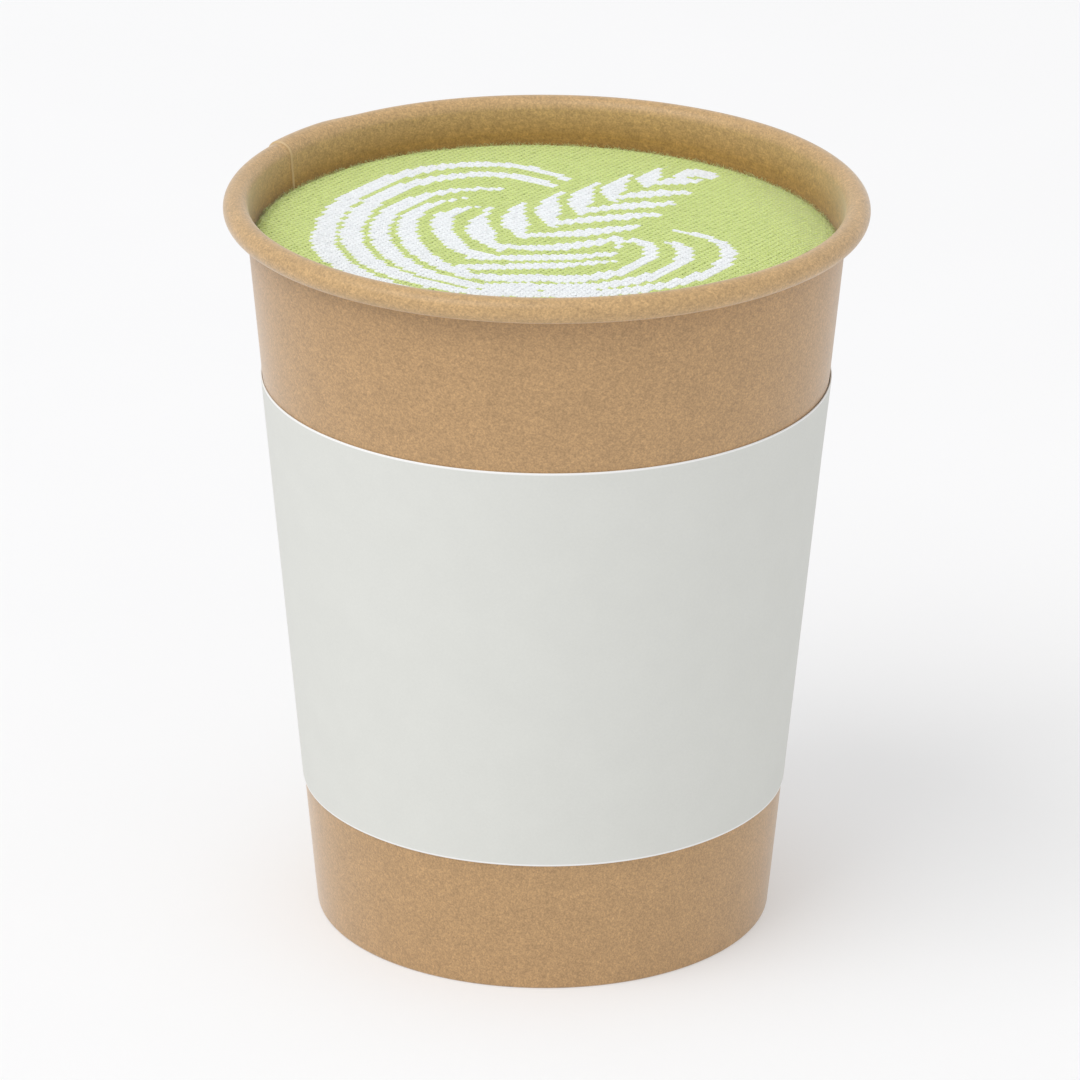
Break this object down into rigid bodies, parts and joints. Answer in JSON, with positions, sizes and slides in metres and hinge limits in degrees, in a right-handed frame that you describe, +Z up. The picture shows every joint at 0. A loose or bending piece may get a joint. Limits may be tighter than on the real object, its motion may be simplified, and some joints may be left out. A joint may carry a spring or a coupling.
{
  "type": "gift cup of knitted socks",
  "caption": "Tapered kraft paper cup with rolled rim and plain paper sleeve, packed with a rolled pair of knitted socks under a flat knitted latte-pattern face.",
  "frame": {"origin": "centre of the foot, on the surface the cup stands on", "axes": "+Z up along the cup's axis, -Y towards the front, +X to the right as seen from the front"},
  "size_m": [0.09, 0.09, 0.1069],
  "materials": {
    "kraft_board": "matt",
    "kraft_base_board": "matt",
    "sleeve_paper": "matt",
    "grey_card": "matt",
    "matcha_knit": "soft knit",
    "white_knit": "soft knit"
  },
  "bodies": {
    "cup": {"cup_sidewall": "kraft_board", "cup_base": "kraft_base_board"},
    "sleeve": {"cup_sleeve": "sleeve_paper"},
    "sock_bundle": {"card_disc": "grey_card", "latte_sock": "matcha_knit", "second_sock": "white_knit"}
  },
  "joints": [
    {"name": "sock_lift", "type": "slide", "parent": "cup", "child": "sock_bundle", "axis": [0, 0, 1], "range_m": [0, 0.11]},
    {"name": "sleeve_slide", "type": "slide", "parent": "cup", "child": "sleeve", "axis": [0, 0, -1], "range_m": [0, 0.0198]}
  ]
}
